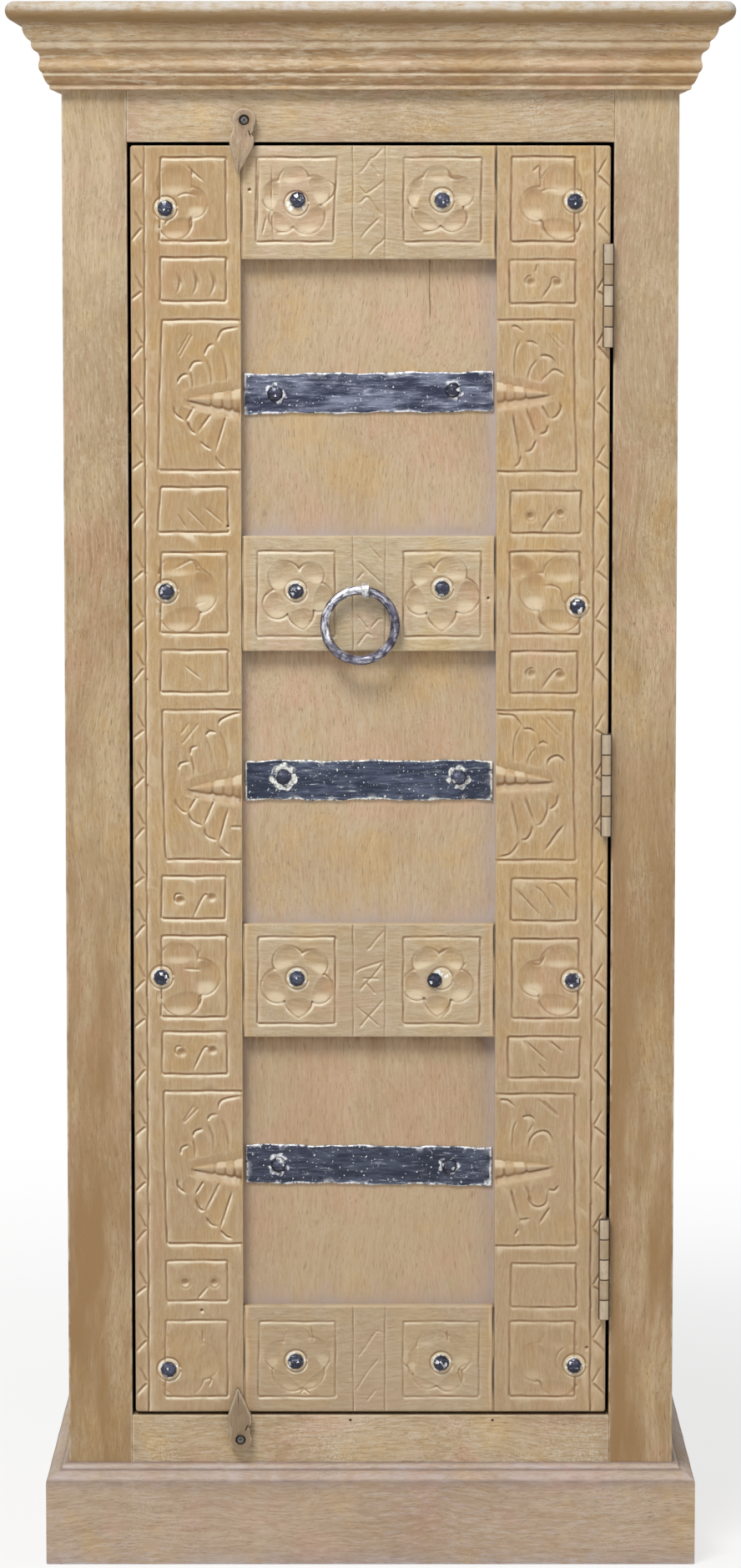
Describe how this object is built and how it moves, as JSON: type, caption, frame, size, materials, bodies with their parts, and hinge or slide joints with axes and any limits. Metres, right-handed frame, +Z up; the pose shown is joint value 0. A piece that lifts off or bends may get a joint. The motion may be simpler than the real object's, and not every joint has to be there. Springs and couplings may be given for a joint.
{
  "type": "highboard",
  "caption": "Tall free-standing wooden cabinet with a moulded cornice and plinth and one carved, iron-strapped panel door that swings on butt hinges.",
  "frame": {"origin": "on the floor, under the middle of the whole cabinet", "axes": "+X to the viewer's right across the front, +Y from the front to the back, +Z up"},
  "size_m": [0.64, 0.4, 1.4],
  "materials": {
    "top_board_wood": "limewashed, worn matt",
    "carcass_wood": "waxed, limewashed",
    "moulding_wood": "waxed, edges worn pale",
    "inside_wood": "plain, lightly waxed",
    "carved_wood": "carved, waxed, limewashed",
    "panel_wood": "waxed, grey wash at the edges",
    "button_wood": "waxed",
    "wrought_iron": "blackened, edges worn bright",
    "worn_steel": "forged, worn bright",
    "painted_hinge": "painted over with the wood, worn",
    "bare_steel": "dull zinc"
  },
  "bodies": {
    "cabinet": {"top_plate": "top_board_wood", "side_panel_left": "carcass_wood", "side_panel_right": "carcass_wood", "frame_stile_left": "carcass_wood", "frame_stile_right": "carcass_wood", "frame_rail_top": "carcass_wood", "frame_rail_bottom": "carcass_wood", "cornice_front": "moulding_wood", "cornice_left": "moulding_wood", "cornice_right": "moulding_wood", "plinth_front": "moulding_wood", "plinth_left": "moulding_wood", "plinth_right": "moulding_wood", "back_panel": "inside_wood", "bottom_board": "inside_wood", "base_rail_back": "inside_wood", "bottom_bearer_left": "inside_wood", "bottom_bearer_right": "inside_wood", "shelf_lower": "inside_wood", "shelf_middle": "inside_wood", "shelf_upper": "inside_wood", "shelf_cleat_lower_left": "inside_wood", "shelf_cleat_lower_right": "inside_wood", "shelf_cleat_middle_left": "inside_wood", "shelf_cleat_middle_right": "inside_wood", "shelf_cleat_upper_left": "inside_wood", "shelf_cleat_upper_right": "inside_wood", "hinge_frame_leaf_1": "painted_hinge", "hinge_frame_leaf_2": "painted_hinge", "hinge_frame_leaf_3": "painted_hinge", "hinge_pin_1": "bare_steel", "hinge_pin_2": "bare_steel", "hinge_pin_3": "bare_steel", "hinge_screws_frame": "bare_steel", "turn_button_screws": "bare_steel"},
    "door": {"door_stile_left": "carved_wood", "door_stile_right": "carved_wood", "door_rail_top": "carved_wood", "door_rail_upper": "carved_wood", "door_rail_lower": "carved_wood", "door_rail_bottom": "carved_wood", "door_panel_top": "panel_wood", "door_panel_middle": "panel_wood", "door_panel_bottom": "panel_wood", "iron_strap_top": "wrought_iron", "iron_strap_middle": "wrought_iron", "iron_strap_bottom": "wrought_iron", "strap_nails": "wrought_iron", "door_nails": "wrought_iron", "ring_staple": "worn_steel", "hinge_door_leaf_1": "painted_hinge", "hinge_door_leaf_2": "painted_hinge", "hinge_door_leaf_3": "painted_hinge", "hinge_screws_door": "bare_steel"},
    "ring": {"ring_handle": "worn_steel"},
    "top_button": {"turn_button_top": "button_wood"},
    "bottom_button": {"turn_button_bottom": "button_wood"}
  },
  "joints": [
    {"name": "door_swing", "type": "hinge", "parent": "cabinet", "child": "door", "pos_m": [0.2105, -0.1583, 0.707], "axis": [0, 0, 1], "range_deg": [0, 170]},
    {"name": "ring_swing", "type": "hinge", "parent": "door", "child": "ring", "pos_m": [-0.0045, -0.1625, 0.88172], "axis": [-1, 0, 0], "range_deg": [0, 165]},
    {"name": "top_button_turn", "type": "hinge", "parent": "cabinet", "child": "top_button", "pos_m": [-0.1116, -0.1576, 1.2975], "axis": [0, 1, 0], "range_deg": [-110, 110]},
    {"name": "bottom_button_turn", "type": "hinge", "parent": "cabinet", "child": "bottom_button", "pos_m": [-0.1175, -0.1576, 0.112], "axis": [0, 1, 0], "range_deg": [-100, 100]}
  ]
}
